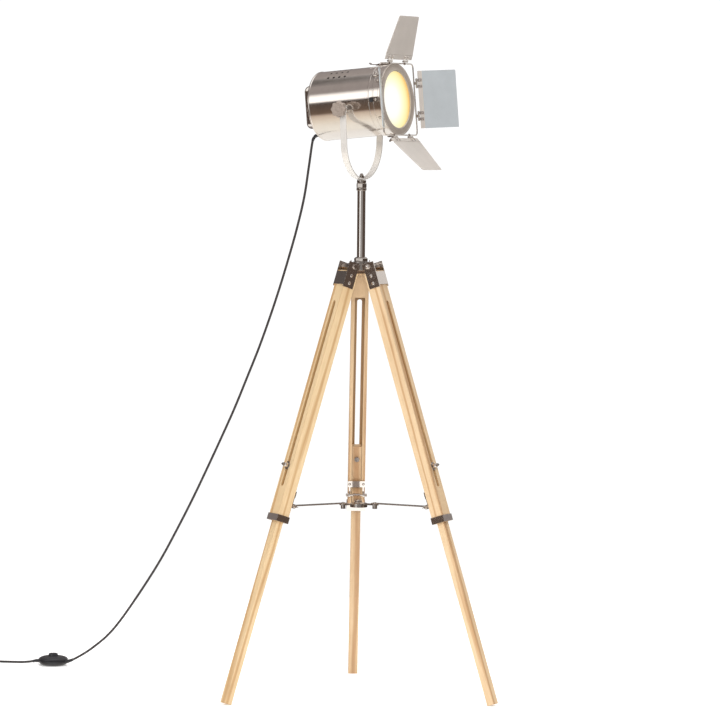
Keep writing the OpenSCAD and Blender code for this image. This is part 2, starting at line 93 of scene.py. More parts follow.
def basis(origin, x, y, z):
    """Matrix in metres whose columns are three unit directions and an origin."""
    place = Matrix((x, y, z)).transposed().to_4x4()
    place.translation = origin
    return place


def point_of(joint):
    return Vector(JOINTS[joint]["pos_m"])


def axis_of(joint):
    return Vector(JOINTS[joint]["axis"]).normalized()


def leg_frame(k):
    """Leg k: pivot at the origin, X out of its outer face, Z up along it."""
    up = -axis_of(f"leg_slide_{k}")
    across = axis_of(f"leg_fold_{k}")
    return basis(point_of(f"leg_fold_{k}"), across.cross(up), across, up)


def head_frame():
    """Lamp head: X along the barrel's axis, origin nearest to the tilt axis."""
    up = axis_of("door_far_swing")
    across = axis_of("tilt")
    ahead = across.cross(up)
    on_axis = (point_of("door_near_swing") + point_of("door_far_swing")) / 2
    return basis(on_axis - ahead * (on_axis - point_of("tilt")).dot(ahead), ahead, across, up)


HEAD = head_frame()
HEAD_X = HEAD.to_3x3().col[0]
HINGE_X = (HEAD.inverted() @ point_of("door_top_swing")).x / MM
HINGE_R = (HEAD.inverted() @ point_of("door_top_swing")).z / MM


def door_frame_of(name):
    """Barn door: hinge along Y, leaf out along Z, X on the side that faces the beam."""
    hinge = point_of(f"door_{name}_swing")
    local = HEAD.inverted() @ hinge
    outward = (HEAD.to_3x3() @ Vector((0, local.y, local.z))).normalized()
    along = outward.cross(HEAD_X)
    forward_travel = max(abs(limit) for limit in JOINTS[f"door_{name}_swing"]["range_deg"])
    lean = math.radians(120 - forward_travel)
    leaf = outward * math.cos(lean) + HEAD_X * math.sin(lean)
    return basis(hinge, along.cross(leaf), along, leaf)


Z_TO_X = turn("Y", 90)
Z_TO_Y = turn("X", -90)
Z_TO_MINUS_Y = turn("X", 90)
# Takes an outline's x and y to Y and Z, and its thickness to X
UPRIGHT = Matrix(((0, 0, 1, 0), (1, 0, 0, 0), (0, 1, 0, 0), (0, 0, 0, 1)))
# Takes an outline's x and y to X and Z, and its thickness to -Y
SIDEWAYS = turn("X", 90)


# ---------- camera ----------


def new_object(name, data):
    thing = bpy.data.objects.new(name, data)
    bpy.context.scene.collection.objects.link(thing)
    return thing


def add_camera():
    distance, height = 7.89, 1.154
    pitch, roll = math.radians(3.295), math.radians(0.509)
    level_right, up = Vector((-TO_CAMERA.y, TO_CAMERA.x, 0)), Vector((0, 0, 1))
    look = -TO_CAMERA * math.cos(pitch) - up * math.sin(pitch)
    level_up = level_right.cross(look)
    right = level_right * math.cos(roll) + level_up * math.sin(roll)
    camera = new_object("camera", bpy.data.cameras.new("camera"))
    camera.data.lens = 190
    camera.data.sensor_width = 36
    camera.matrix_world = basis(TO_CAMERA * distance + up * height, right, right.cross(look), -look)
    bpy.context.scene.camera = camera


add_camera()


# ---------- shape building ----------


def arc(centre, radius, start, end, count):
    """Points round a centre from one angle to another, in degrees."""
    angles = [math.radians(start + (end - start) * i / (count - 1)) for i in range(count)]
    return [(centre[0] + radius * math.cos(a), centre[1] + radius * math.sin(a)) for a in angles]


def rounded(corners, radius, count=5):
    """A closed outline with each corner cut by an arc of about the given radius."""
    outline = []
    for i, corner in enumerate(corners):
        here = Vector(corner)
        before = (Vector(corners[i - 1]) - here).normalized()
        after = (Vector(corners[(i + 1) % len(corners)]) - here).normalized()
        for j in range(count):
            t = j / (count - 1)
            start, end = here + before * radius, here + after * radius
            outline.append(tuple(start * (1 - t) ** 2 + here * 2 * t * (1 - t) + end * t ** 2))
    return outline


def smooth_path(route, parts):
    """Catmull-Rom curve through the route's points, with some parts between each two."""
    points = [Vector(p) for p in route]
    ends = [points[0]] + points + [points[-1]]
    path = []
    for a, b, c, d in zip(ends, ends[1:], ends[2:], ends[3:]):
        for i in range(parts):
            t = i / parts
            path.append(0.5 * (2 * b + (c - a) * t + (2 * a - 5 * b + 4 * c - d) * t * t
                               + (3 * b - a - 3 * c + d) * t ** 3))
    return path + [points[-1]]


class Shape:
    """Closed shells gathered into one mesh, in millimetres."""

    def __init__(self):
        self.points = []
        self.faces = []

    def add(self, points, faces, place=Matrix()):
        start = len(self.points)
        self.points += [place @ Vector(p) for p in points]
        self.faces += [[start + i for i in face] for face in faces]
        return self

    def lathe(self, profile, place=Matrix(), steps=48, lobes=0):
        """Turned about Z from (radius, height, lobe depth) points; off the axis all round, it is a ring."""
        rings, points = [], []
        for radius, height, *lobe in profile:
            if radius == 0:
                rings.append([len(points)] * steps)
                points.append((0, 0, height))
                continue
            rings.append(range(len(points), len(points) + steps))
            for i in range(steps):
                angle = math.tau * i / steps
                r = radius * (1 + (lobe[0] * math.cos(lobes * angle) if lobe else 0))
                points.append((r * math.cos(angle), r * math.sin(angle), height))
        pairs = list(zip(rings, rings[1:]))
        if profile[0][0] > 0:
            pairs.append((rings[-1], rings[0]))
        faces = []
        for low, high in pairs:
            for i in range(steps):
                j = (i + 1) % steps
                corners = list(dict.fromkeys([low[i], low[j], high[j], high[i]]))
                if len(corners) > 2:
                    faces.append(corners)
        return self.add(points, faces, place)

    def rod(self, radius, low, high, place=Matrix(), steps=32, hole=0):
        """Plain rod along Z, or a tube if it has a hole."""
        return self.lathe([(hole, low), (radius, low), (radius, high), (hole, high)], place, steps)

    def prism(self, outline, low, high, place=Matrix()):
        n = len(outline)
        points = [(x, y, z) for z in (low, high) for x, y in outline]
        sides = [[i, (i + 1) % n, (i + 1) % n + n, i + n] for i in range(n)]
        return self.add(points, [list(range(n - 1, -1, -1)), list(range(n, 2 * n))] + sides, place)

    def block(self, low, high, place=Matrix()):
        corners = [(low[0], low[1]), (high[0], low[1]), (high[0], high[1]), (low[0], high[1])]
        return self.prism(corners, low[2], high[2], place)

    def tube(self, path, radius, place=Matrix(), sides=16, closed=False):
        """Round tube along a path; radius is one number, or one for each point."""
        path = [Vector(p) for p in path]
        n = len(path)
        radii = radius if isinstance(radius, list) else [radius] * n
        ahead = [(path[(i + 1) % n if closed else min(i + 1, n - 1)]
                  - path[(i - 1) % n if closed else max(i - 1, 0)]).normalized() for i in range(n)]
        side = ahead[0].orthogonal().normalized()
        points = []
        for centre, direction, r in zip(path, ahead, radii):
            side = (side - direction * side.dot(direction)).normalized()
            other = direction.cross(side)
            points += [centre + r * (side * math.cos(math.tau * j / sides)
                                     + other * math.sin(math.tau * j / sides)) for j in range(sides)]
        rows = range(n if closed else n - 1)
        faces = [[i * sides + j, i * sides + (j + 1) % sides,
                  (i + 1) % n * sides + (j + 1) % sides, (i + 1) % n * sides + j]
                 for i in rows for j in range(sides)]
        if not closed:
            faces += [list(range(sides))[::-1], [(n - 1) * sides + j for j in range(sides)]]
        return self.add(points, faces, place)

    def screw(self, place, r=3.4, h=1.7):
        """Domed head with a cross recess, standing on z = 0."""
        profile = [(0, -0.8), (r * 0.6, -0.8), (r * 0.6, 0), (r, 0), (r * 0.97, h * 0.35),
                   (r * 0.8, h * 0.72), (r * 0.55, h * 0.95), (r * 0.36, h, 0.42),
                   (r * 0.3, h * 0.4, 0.42), (0, h * 0.4)]
        return self.lathe(profile, place, steps=32, lobes=4)

    def hex_nut(self, place, across, low, high, hole=0):
        """Six-sided nut with chamfered ends."""
        corner = across / math.sqrt(3)
        trim = corner * 0.07
        profile = [(hole, low), (corner - trim, low), (corner, low + trim), (corner, high - trim),
                   (corner - trim, high), (hole, high)]
        return self.lathe(profile, place, steps=6)


def add_piece(name, mesh, place, material):
    piece = new_object(name, mesh)
    piece.matrix_world = place
    mesh.materials.append(material)
    return piece


def outward(mesh, weld=False):
    """Turns the faces outwards; welding first joins doubled points and flat neighbours."""
    edit = bmesh.new()
    edit.from_mesh(mesh)
    if weld:
        bmesh.ops.remove_doubles(edit, verts=edit.verts, dist=2e-6)
        bmesh.ops.dissolve_limit(edit, angle_limit=math.radians(0.5), verts=edit.verts, edges=edit.edges)
    bmesh.ops.recalc_face_normals(edit, faces=edit.faces)
    edit.to_mesh(mesh)
    edit.free()
    return mesh


def mesh_of(name, shape):
    mesh = bpy.data.meshes.new(name)
    mesh.from_pydata([p * MM for p in shape.points], [], shape.faces)
    return mesh


def dress(piece, bevel, sharp=34):
    """Smooth faces, sharp edges by angle, and a small rounding on the edges."""
    piece.data.shade_smooth()
    piece.data.set_sharp_from_angle(angle=math.radians(sharp))
    if bevel:
        modifier = piece.modifiers.new("edges", "BEVEL")
        modifier.width = bevel * MM
        modifier.segments = 2
        modifier.limit_method = "ANGLE"
        modifier.angle_limit = math.radians(sharp)
        modifier.harden_normals = True
    return piece


def stand_for(piece, material, body, *nodes):
    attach(piece, body)
    if nodes:
        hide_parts(*nodes)
    return piece


def make(name, shape, material, body, *nodes, place=Matrix(), bevel=0.25, sharp=34):
    """One piece from a shape, riding on a body and standing for some CAD nodes."""
    piece = dress(add_piece(name, outward(mesh_of(name, shape)), place, material), bevel, sharp)
    return stand_for(piece, material, body, *nodes)


def refine(node, material, place=Matrix(), bevel=0.4):
    """A CAD node's own shape with clean faces and rounded edges, in the frame it is given."""
    source = frame["nodes"][node]
    mesh = bpy.data.meshes.new(node)
    faces = [polygon.vertices for polygon in source.data.polygons]
    mesh.from_pydata([vertex.co for vertex in source.data.vertices], [], faces)
    mesh.transform(place.inverted())
    piece = dress(add_piece(f"{node}_detail", outward(mesh, weld=True), place, material), bevel)
    return stand_for(piece, material, source["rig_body"], node)


# ---------- materials ----------


def srgb(r, g, b):
    """Linear colour with alpha from 0-255 display values."""
    shares = (c / 255 for c in (r, g, b))
    return tuple(c / 12.92 if c < 0.0404 else ((c + 0.055) / 1.055) ** 2.4 for c in shares) + (1,)


class Graph:
    """The shader nodes of a material or a world, with short forms for those used here."""

    def __init__(self, owner):
        owner.use_nodes = True
        self.nodes = owner.node_tree.nodes
        self.link = owner.node_tree.links.new

    def feed(self, value, socket):
        """Links another node's output to a socket, or sets the socket to a plain value."""
        if isinstance(value, bpy.types.NodeSocket):
            self.link(value, socket)
        else:
            socket.default_value = value

    def fill(self, node, **values):
        """Fills inputs by name, where an underscore stands for a space."""
        for key, value in values.items():
            self.feed(value, node.inputs[key.replace("_", " ")])
        return node

    def node(self, kind, **values):
        return self.fill(self.nodes.new(kind), **values)

    def operate(self, kind, operation, *values):
        node = self.nodes.new(kind)
        node.operation = operation
        for value, socket in zip(values, node.inputs):
            self.feed(value, socket)
        return node.outputs

    def math(self, operation, *values):
        return self.operate("ShaderNodeMath", operation, *values)["Value"]

    def vector(self, operation, *values):
        outputs = self.operate("ShaderNodeVectorMath", operation, *values)
        return outputs["Value" if operation in ("LENGTH", "DOT_PRODUCT") else "Vector"]

    def split(self, vector):
        return self.node("ShaderNodeSeparateXYZ", Vector=vector).outputs

    def mix(self, share, a, b, blend="MIX"):
        node = self.nodes.new("ShaderNodeMix")
        node.data_type = "RGBA"
        node.blend_type = blend
        for value, socket in ((share, node.inputs["Factor"]), (a, node.inputs[6]), (b, node.inputs[7])):
            self.feed(value, socket)
        return node.outputs[2]

    def remap(self, value, start, end, low=0.0, high=1.0, kind="SMOOTHSTEP"):
        node = self.node("ShaderNodeMapRange", Value=value, From_Min=start, From_Max=end,
                         To_Min=low, To_Max=high)
        node.interpolation_type = kind
        return node.outputs["Result"]

    def ramp(self, value, *stops):
        node = self.nodes.new("ShaderNodeValToRGB")
        elements = node.color_ramp.elements
        while len(elements) < len(stops):
            elements.new(0.5)
        for element, (position, colour) in zip(elements, stops):
            element.position = position
            element.color = tuple(colour[:3]) + (1,)
        self.link(value, node.inputs["Fac"])
        return node.outputs["Color"]


class Finish(Graph):
    """A procedural material being built on one shader, from object coordinates."""

    def __init__(self, name, slot, **values):
        self.material = bpy.data.materials.new(name)
        self.material["slot"] = slot
        super().__init__(self.material)
        self.shader = self.fill(self.nodes["Principled BSDF"], **values)
        self.place = self.nodes.new("ShaderNodeTexCoord").outputs["Object"]

    def colour(self, source):
        self.fill(self.shader, Base_Color=source)

    def roughness(self, value, low, high):
        """Spreads the middle of a noise over a range of roughness."""
        self.fill(self.shader, Roughness=self.remap(value, 0.3, 0.7, low, high, "LINEAR"))

    def mapped(self, scale, location=(0, 0, 0)):
        """Object coordinates scaled by axis, so that a pattern runs along the smallest scale."""
        node = self.node("ShaderNodeMapping", Vector=self.place, Location=location, Scale=scale)
        return node.outputs["Vector"]

    def noise(self, vector, scale, detail=4, roughness=0.55):
        node = self.node("ShaderNodeTexNoise", Vector=vector, Scale=scale, Detail=detail, Roughness=roughness)
        return node.outputs["Fac"]

    def bump(self, height, strength, distance):
        node = self.node("ShaderNodeBump", Strength=strength, Distance=distance, Height=height)
        self.fill(self.shader, Normal=node.outputs["Normal"])


def darker(colour, share):
    return tuple(c * share for c in colour[:3])


def channel_shade_mask(finish):
    """Mask of the painted shade: 1 on the walls of the upper leg's channel and slot, 0 on its outer faces."""
    parts = finish.split(finish.place)
    inside = [finish.math("LESS_THAN", finish.math("ABSOLUTE", parts[axis]), edge * MM)
              for axis, edge in (("X", 12.6), ("Y", 10.9))]
    return finish.math("MULTIPLY", *inside)


def light_wood(name, base, streak, seed, channel=False):
    """Pale lacquered softwood with straight grain along Z, in the leg's frame; with channel set, the channel
    and slot walls get painted shade.
    """
    finish = Finish(name, "light_wood", Roughness=0.46, Specular_IOR_Level=0.4,
                    Coat_Weight=0.12, Coat_Roughness=0.3)
    along = finish.mapped((1, 1, 0.045), (seed * 0.31, seed * 0.17, seed * 0.23))
    rings = finish.node("ShaderNodeTexWave", Vector=along, Scale=17, Distortion=7.5,
                        Detail=3, Detail_Scale=1.6)
    rings.wave_type = "RINGS"
    rings.rings_direction = "Z"
    broad = finish.ramp(rings.outputs["Fac"], (0.0, base), (0.62, base), (1.0, streak))
    fine = finish.noise(along, 620, detail=6, roughness=0.7)
    fibres = finish.ramp(fine, (0.3, (0.88, 0.84, 0.79)), (0.6, (1, 1, 1)))
    patches = finish.ramp(finish.noise(finish.mapped((1, 1, 0.2)), 26, detail=2),
                          (0.3, (0.90, 0.86, 0.82)), (0.65, (1, 1, 1)))
    colour = finish.mix(1.0, finish.mix(1.0, broad, fibres, "MULTIPLY"), patches, "MULTIPLY")
    if channel:
        # painted shade: darkens the walls of the channel and slot, where shade falls inside the recess
        shade = finish.ramp(channel_shade_mask(finish), (0.0, (1, 1, 1)), (1.0, (0.66, 0.56, 0.44)))
        colour = finish.mix(1.0, colour, shade, "MULTIPLY")
    finish.colour(colour)
    finish.roughness(fine, 0.40, 0.54)
    finish.bump(fine, 0.22, 0.0003)
    return finish.material


def metal_finish(name, slot, colour, low, high, grain=(1, 1, 1), scale=240, bump=0.04, metallic=1.0):
    """Plated or painted metal: roughness varies a little, with a faint brushed direction."""
    finish = Finish(name, slot, Metallic=metallic)
    streaks = finish.noise(finish.mapped(grain), scale, detail=5, roughness=0.6)
    smudges = finish.noise(finish.place, 34, detail=3)
    finish.colour(finish.ramp(smudges, (0.3, darker(colour, 0.93)), (0.7, colour)))
    finish.roughness(streaks, low, high)
    if bump:
        finish.bump(streaks, bump, 0.0001)
    return finish


def metal(*values, **more):
    return metal_finish(*values, **more).material


def barrel_with_shaded_inside(colour):
    """The barrel's nickel outside, and a dull dark inside: painted shade that shows through the vents."""
    finish = metal_finish("barrel_nickel", "polished_nickel", colour, 0.10, 0.16, (0.06, 1, 1), 420)
    radius = finish.vector("LENGTH", finish.vector("MULTIPLY", finish.place, (0, 1, 1)))
    # painted shade: the inside of the barrel is made dark so that the vents show shade
    painted_inner_shade = finish.node("ShaderNodeBsdfPrincipled", Base_Color=(0.03, 0.027, 0.025, 1), Roughness=0.7)
    inside = finish.math("LESS_THAN", radius, (BARREL_R - 0.2) * MM)
    both = finish.node("ShaderNodeMixShader", Fac=inside)
    finish.link(finish.shader.outputs["BSDF"], both.inputs[1])
    finish.link(painted_inner_shade.outputs["BSDF"], both.inputs[2])
    finish.link(both.outputs["Shader"], finish.nodes["Material Output"].inputs["Surface"])
    return finish.material


def moulded(name, slot, colour, rough, scale, bump):
    """Moulded plastic or rubber with a fine texture."""
    finish = Finish(name, slot, Specular_IOR_Level=0.45)
    pebble = finish.noise(finish.place, scale, detail=3)
    finish.colour(finish.ramp(finish.noise(finish.place, 60), (0.3, darker(colour, 0.8)), (0.7, colour)))
    finish.roughness(pebble, rough - 0.06, rough + 0.06)
    finish.bump(pebble, bump, 0.0002)
    return finish.material


def glowing_lens():
    """Frosted glass lit from behind: white over the bulb, yellow further out, amber at the rim."""
    finish = Finish("frosted_glass", "frosted_glass", Roughness=0.5, Base_Color=srgb(90, 84, 70))
    from_hot_spot = finish.mapped((0, 1, 1), (0, 0.020, 0.005))
    share = finish.math("MULTIPLY", finish.vector("LENGTH", from_hot_spot), 1 / 0.085)
    glow = finish.ramp(share, (0.0, (1, 1, 1)), (0.36, (1, 1, 0.95)), (0.60, (0.98, 0.95, 0.60)),
                       (0.78, (0.97, 0.84, 0.38)), (0.96, (0.93, 0.52, 0.13)))
    finish.fill(finish.shader, Emission_Color=glow, Emission_Strength=0.96)
    return finish.material


# Base colour, streak colour and grain seed of each leg
WOOD_TONES = ((srgb(221, 196, 160), srgb(193, 156, 115), 1),
              (srgb(212, 184, 147), srgb(184, 147, 109), 5),
              (srgb(224, 199, 159), srgb(198, 162, 117), 9))
# the upper legs carry painted shade on the walls of their channel and slot
WOOD_UPPER = [light_wood(f"light_wood_upper_{k}", base, streak, seed, channel=True)
              for k, (base, streak, seed) in enumerate(WOOD_TONES)]
WOOD_LOWER = [light_wood(f"light_wood_lower_{k}", base, streak, seed + 2)
              for k, (base, streak, seed) in enumerate(WOOD_TONES)]
NICKEL = metal("polished_nickel", "polished_nickel", (0.86, 0.80, 0.75, 1), 0.10, 0.17, (0.06, 1, 1), 420)
DARK = metal("dark_nickel", "dark_nickel", (0.50, 0.46, 0.43, 1), 0.16, 0.26, scale=300)
POLE = metal("pole_nickel", "polished_nickel", (0.84, 0.80, 0.77, 1), 0.10, 0.14, (1, 1, 0.06), 420, 0.0)
BARREL = barrel_with_shaded_inside((0.86, 0.80, 0.75, 1))
SOFT = metal("soft_nickel", "polished_nickel", srgb(238, 235, 230), 0.20, 0.26, scale=60, bump=0,
             metallic=0.35)
KNOB = metal("knob_taupe", "dark_nickel", srgb(154, 141, 131), 0.46, 0.54, scale=900, metallic=0.15)
SATIN = metal("satin_grey", "satin_grey", srgb(203, 196, 189), 0.38, 0.46, (0.08, 1, 1), 300, 0.02, 0.2)
# painted reflection: a cooler copy of the satin finish for the side leaves, which are the same sheet as the
# top and bottom leaves
SIDE_LEAF_REFLECTION_SATIN = metal("satin_cool", "satin_grey", srgb(191, 198, 202), 0.30, 0.40, (0.08, 1, 1), 300, 0.02, 0.25)
BEZEL = metal("bezel_taupe", "satin_grey", srgb(186, 176, 166), 0.34, 0.42, scale=500, metallic=0.25)
PLASTIC = moulded("black_plastic", "black_plastic", srgb(46, 46, 49), 0.34, 2600, 0.2)
RUBBER = moulded("black_rubber", "black_rubber", srgb(58, 54, 54), 0.48, 1500, 0.12)
TIE = moulded("cord_tie", "black_plastic", srgb(40, 40, 42), 0.5, 1200, 0.2)
LENS = glowing_lens()
BULB = moulded("opal_glass", "opal_glass", srgb(250, 246, 236), 0.3, 900, 0.02)


# ---------- cords ----------

CORD_R = 2.5
ROUTE_MAIN = [
    (-98.5, 0, 1166.7), (-108, 0, 1165), (-115, 0, 1158), (-119, 1, 1145), (-126, 1, 1099),
    (-137, 2, 1036), (-154, 3, 972), (-174, 4, 909), (-196, 5, 845), (-220, 6, 781), (-247, 8, 716),
    (-276, 9, 652), (-307, 11, 586), (-341, 13, 520), (-376, 15, 454), (-412, 16, 387), (-451, 18, 320),
    (-494, 21, 251), (-543, 23, 182), (-598, 26, 112), (-635, 28, 74), (-677, 31, 43), (-709, 33, 24),
    (-730, 34, 14), (-747, 35, 9.5)]
ROUTE_LEAD = [
    (-805, 35, 8), (-820, 34, 7), (-834, 31, 4.5), (-850, 26, 2.8), (-870, 18, 2.6),
    (-890, 10.5, 2.6), (-910, 6, 2.6), (-929, 4.6, 3)]
SEAM = 7
RELIEF = 24


def cord_tube(name, path):
    """A cord's sheath in the row frame: a round tube with flat ends."""
    mesh = mesh_of(name, Shape().tube(path, CORD_R, sides=14))
    return dress(add_piece(name, mesh, Matrix(), RUBBER), 0)


def stretch(path, distance):
    """The first part of a path, up to a distance along it, in steps of 1 mm."""
    points, gone = [path[0]], 0.0
    for a, b in zip(path, path[1:]):
        step = (b - a).length
        for i in range(1, int(step) + 1):
            if gone + i <= distance:
                points.append(a.lerp(b, i / step))
        gone += step
    return points


def strain_relief(name, path, thick, body):
    """Ribbed sleeve that tapers from a housing onto the cord."""
    points = stretch(path, RELIEF)
    last = len(points) - 1
    radii = []
    for i in range(len(points)):
        taper = thick + (CORD_R + 0.5 - thick) * i / last
        radii.append(taper - (0.55 if i % 4 == 2 and 2 < i < last - 1 else 0))
    return make(name, Shape().tube(points, radii, sides=20), PLASTIC, body, bevel=0)


def main_cord():
    """The cord from the gland to the switch, in two pieces split at the seam, with a ribbed sleeve at each
    end.
    """
    path = smooth_path(ROUTE_MAIN, 6)
    seam = SEAM * 6
    upper, lower = path[:seam + 1], path[seam:]
    relief = strain_relief("relief_gland", path, 4.4, "head")
    relief_switch = strain_relief("relief_switch_in", path[::-1], 4.6, "stand")
    pieces = (("cord_upper", upper, "head", "yoke", stretch(path, RELIEF)[-1], upper[-1], relief),
              ("cord_lower", lower, "yoke", "stand", lower[0], lower[-12], relief_switch))
    for name, part, first, second, start, end, sleeve in pieces:
        piece = cord_tube(name, part)
        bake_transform(piece)
        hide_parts("cord_main")


def coil_path(centre, start_radius, spacing, base):
    """Five turns whose sections go round a hexagon, each a diameter and more from the last."""
    slots = [Vector((start_radius, base))]
    for heading in (180, 120, 60, 0, -60):
        angle = math.radians(heading)
        slots.append(slots[-1] + spacing * Vector((math.cos(angle), math.sin(angle))))
    steps = 24
    path = []
    for turn_number, (here, after) in enumerate(zip(slots, slots[1:])):
        for i in range(steps + (turn_number == len(slots) - 2)):
            radius, height = here.lerp(after, i / steps)
            angle = math.tau * i / steps
            path.append(Vector((centre.x - radius * math.sin(angle),
                                centre.y + radius * math.cos(angle), height)))
    return path


def coiled_cord():
    """The cord from the switch: a short run, the coil with its tie, and the tail into the plug."""
    low, high = (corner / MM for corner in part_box("cord_coil"))
    centre = (low + high) / 2
    spacing, base = 5.8, 3.4
    outer = (high.x - low.x) / 2 - CORD_R - spacing / 2
    coil = coil_path(centre, outer, spacing, base)
    end = coil[-1]
    sleeve_end = (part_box("plug")[1] / MM).x
    tail = [Vector((sleeve_end + 10, end.y, end.z - 0.3)), Vector((sleeve_end - 6, end.y, 7))]
    run = smooth_path(ROUTE_LEAD, 2)
    path = run + coil + tail
    piece = cord_tube("cord_to_plug", path)
    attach(piece, "stand")
    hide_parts("cord_lead", "cord_coil")
    tie = coil_tie(centre, outer - spacing / 2, base + spacing * math.sin(math.radians(60)), spacing)
    relief = strain_relief("relief_switch_out", run, 4.6, "stand")


def coil_tie(centre, radius, height, spacing):
    """A strap round all the turns, on the side away from the plug."""
    room, thickness = 0.7, 0.8
    wide, tall = spacing + CORD_R + room, spacing * 0.87 + CORD_R + room
    outer = rounded([(-wide, -height + 0.1), (wide, -height + 0.1), (wide, tall), (-wide, tall)], 3.4, 6)
    inner = [(x * (wide - thickness) / wide, y * (tall - thickness) / tall) for x, y in outer]
    n = len(outer)
    points = [(x, y, z) for z in (-3, 3) for ring in (outer, inner) for x, y in ring]
    faces = []
    for i in range(n):
        j = (i + 1) % n
        faces += [[i, j, j + 2 * n, i + 2 * n], [n + j, n + i, n + i + 2 * n, n + j + 2 * n],
                  [j, i, n + i, n + j], [2 * n + i, 2 * n + j, 3 * n + j, 3 * n + i]]
    place = shift(centre.x + radius, centre.y, height) @ turn("X", 90)
    shape = Shape().add(points, faces, place)
    shape.block((-3.5, tall - 0.4, -3.4), (2.5, tall + 1.0, 3.4), place)
    return make("coil_tie", shape, TIE, "stand", bevel=0.2)


# ---------- wooden legs and their ironwork ----------

# Heights along the leg, measured from its pivot
CAP_SCREWS = (-20, -36)
CLAMP_BOLT = -433
STRAP_SCREWS = -488
SPREADER_PIN = -511


def leg_wood(k):
    for part, woods in (("upper", WOOD_UPPER), ("lower", WOOD_LOWER)):
        refine(f"leg_{k}_{part}", woods[k], leg_frame(k), bevel=0.9)


def leg_iron(k):
    for part, metal_used, bevel in (("cap", NICKEL, 0.5), ("straps", NICKEL, 0.4), ("clamp_bolt", DARK, 0.5)):
        refine(f"leg_{k}_{part}", metal_used, leg_frame(k), bevel)


def leg_screws(k):
    """Domed screws on the cap's cheeks and the inner strap."""
    cheek, strap = 20.3, -15.3
    shape = Shape()
    for along in CAP_SCREWS:
        shape.screw(shift(2, cheek, along) @ Z_TO_Y, h=1.5)
        shape.screw(shift(2, -cheek, along) @ Z_TO_MINUS_Y, h=1.5)
    for across in (14.5, -14.5):
        shape.screw(shift(strap, across, STRAP_SCREWS) @ turn("Y", -90), r=3, h=1.4)
    make(f"leg_{k}_screw_heads", shape, NICKEL, f"leg_{k}", f"leg_{k}_screws", place=leg_frame(k), bevel=0)


def wing_nut(shape, place, size):
    """Turned boss with two swept ears across Y; size 1 fits an M6 bolt."""
    boss = [(3.1, 0), (5.6, 0), (5.5, 2.2), (4.9, 5.6), (4.2, 7.6), (3.1, 7.8)]
    shape.lathe([(r * size, z * size) for r, z in boss], place, steps=32)
    ear = [(3.4, 1.0), (6.4, 1.7), (8.6, 3.6)] + arc((7.5, 7.0), 2.5, -42, 168, 12) + [(3.6, 6.0)]
    for side in (0, 180):
        outline = [(x * size, y * size) for x, y in ear]
        shape.prism(outline, -1.25 * size, 1.25 * size, place @ turn("Z", side) @ UPRIGHT)


def leg_wing_nuts(k):
    """The clamp bolt's wing nut, and the spreader's pin with a small one at each end."""
    place = leg_frame(k)
    nut, pin = Shape(), Shape()
    wing_nut(nut, shift(14.8, 0, CLAMP_BOLT) @ Z_TO_X, 1.0)
    make(f"leg_{k}_wing_nut_detail", nut, NICKEL, f"wing_nut_{k}", f"leg_{k}_wing_nut",
         place=place, bevel=0.5)
    at_pin = shift(-20, 0, SPREADER_PIN)
    ends = [(0, -22.4), (1.6, -22.4), (2, -22), (2, 22), (1.6, 22.4), (0, 22.4)]
    pin.lathe(ends, at_pin @ Z_TO_Y, steps=24)
    for across, side in ((16.3, Z_TO_Y), (-16.3, Z_TO_MINUS_Y)):
        wing_nut(pin, at_pin @ shift(0, across, 0) @ side @ turn("Z", 90), 0.66)
    make(f"leg_{k}_pin_detail", pin, NICKEL, f"leg_{k}", f"leg_{k}_spreader_pin", place=place, bevel=0.3)


# ---------- hub, pole and spreader ----------


def pivot_bolts():
    """Bolts through the caps and the hub's lugs, a hex head at one end and a dome nut at the other."""
    shape = Shape()
    for k in range(3):
        place = turn("Z", 120 * k) @ shift(*(point_of("leg_fold_0") / MM))
        end = 20.3
        shape.rod(3, -end, end, place @ Z_TO_Y)
        shape.hex_nut(place @ Z_TO_Y, 9.4, end + 0.1, end + 3.0)
        dome = [(0, end + 3.0), (4.2, end + 3.0), (3.4, end + 4.0), (1.8, end + 4.6), (0, end + 4.7)]
        shape.lathe(dome, place @ Z_TO_MINUS_Y, steps=32)
        shape.hex_nut(place @ Z_TO_MINUS_Y, 9.4, end + 0.1, end + 3.0)
    make("pivot_bolts_detail", shape, NICKEL, "stand", "leg_pivot_bolts", bevel=0.25)


def pole_parts():
    low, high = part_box("pole")
    r, foot, top = (high.x - low.x) / 2 / MM, low.z / MM, high.z / MM
    pole = Shape().rod(r, foot, top, steps=96)
    make("pole_detail", pole, POLE, "stand", "pole", bevel=0.4)
    bore = r + 0.1
    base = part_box("pole_collar")[0].z / MM
    flange = [(bore, base), (16.3, base), (16.5, base + 0.6), (16.2, base + 2.4), (bore, base + 2.4)]
    lip = [(bore, base + 10.2), (12.2, base + 10.2), (11.4, base + 11.8), (bore, base + 11.9)]
    collar = Shape().lathe(flange, steps=96)
    collar.hex_nut(turn("Z", 13), 25.4, base + 2.4, base + 10.2, bore)
    collar.lathe(lip, steps=96)
    make("pole_collar_detail", collar, DARK, "stand", "pole_collar", bevel=0.35)
    foot, top = (corner.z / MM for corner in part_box("pole_socket"))
    skirt = [(bore, foot), (10.0, foot), (10.5, foot + 0.8), (10.5, foot + 5), (9.6, foot + 6),
             (bore, foot + 6)]
    crown = [(3.1, top - 7), (9.4, top - 7), (9.6, top - 6.4), (9.6, top - 1.2), (8.8, top - 0.1),
             (3.1, top - 0.1)]
    socket = Shape().lathe(skirt, steps=96)
    socket.hex_nut(turn("Z", 8), 19.4, foot + 6, top - 7, bore)
    socket.lathe(crown, steps=96)
    make("pole_socket_detail", socket, DARK, "stand", "pole_socket", bevel=0.3)
    refine("hub_casting", DARK, bevel=0.7)


def spreader():
    for k in range(3):
        refine(f"spreader_arm_{k}", NICKEL, bevel=0.4)
    refine("spreader_hub", DARK, bevel=0.5)


# ---------- yoke and knobs ----------


